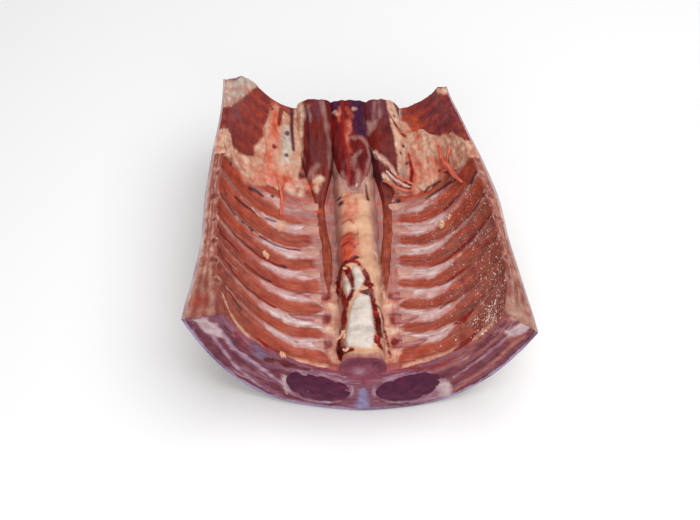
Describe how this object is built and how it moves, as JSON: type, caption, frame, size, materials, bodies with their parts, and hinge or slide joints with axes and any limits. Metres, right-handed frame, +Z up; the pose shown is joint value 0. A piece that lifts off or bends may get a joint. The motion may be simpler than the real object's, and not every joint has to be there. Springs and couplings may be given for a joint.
{
  "type": "raw lamb saddle",
  "caption": "Raw saddle of lamb lying on its back: curved rib walls on both sides of the backbone, fillets and kidney fat inside, cut faces at both ends.",
  "frame": {"origin": "middle of the underside of the bounding box, on the flat that the back rests on", "axes": "+X across the saddle to the right side seen from the rib end, +Y along the backbone to the loin end, +Z up"},
  "size_m": [0.307, 0.309, 0.1221],
  "materials": {
    "lean_meat": "moist raw lean meat under a thin clear membrane, brown-orange to dark red",
    "outer_fat": "smooth cold cream-white fat with a faint pink cast",
    "rib_bone": "pale lilac-grey membrane over bone, pink sawn ends with dark marrow",
    "backbone_bone": "cream membrane and fat over bone, blood-red in its dents",
    "eye_muscle": "freshly cut dark purple-red muscle, fine-grained and moist",
    "fillet_muscle": "moist red-brown muscle with pale strands along it",
    "dark_muscle": "very dark red moist muscle",
    "kidney_fat": "lumpy cream and pale orange fat with small red spots"
  },
  "bodies": {
    "root": {"backbone": "backbone_bone", "pillar": "dark_muscle", "rib_left_1": "rib_bone", "rib_left_2": "rib_bone", "rib_left_3": "rib_bone", "rib_left_4": "rib_bone", "rib_left_5": "rib_bone", "rib_left_6": "rib_bone", "rib_left_7": "rib_bone", "rib_left_8": "rib_bone", "loin_eye_left": "eye_muscle", "fillet_left": "fillet_muscle", "kidney_fat_left": "kidney_fat", "rib_right_1": "rib_bone", "rib_right_2": "rib_bone", "rib_right_3": "rib_bone", "rib_right_4": "rib_bone", "rib_right_5": "rib_bone", "rib_right_6": "rib_bone", "rib_right_7": "rib_bone", "rib_right_8": "rib_bone", "loin_eye_right": "eye_muscle", "fillet_right": "fillet_muscle", "kidney_fat_right": "kidney_fat", "meat": "lean_meat", "fat_cap": "outer_fat"}
  },
  "joints": []
}
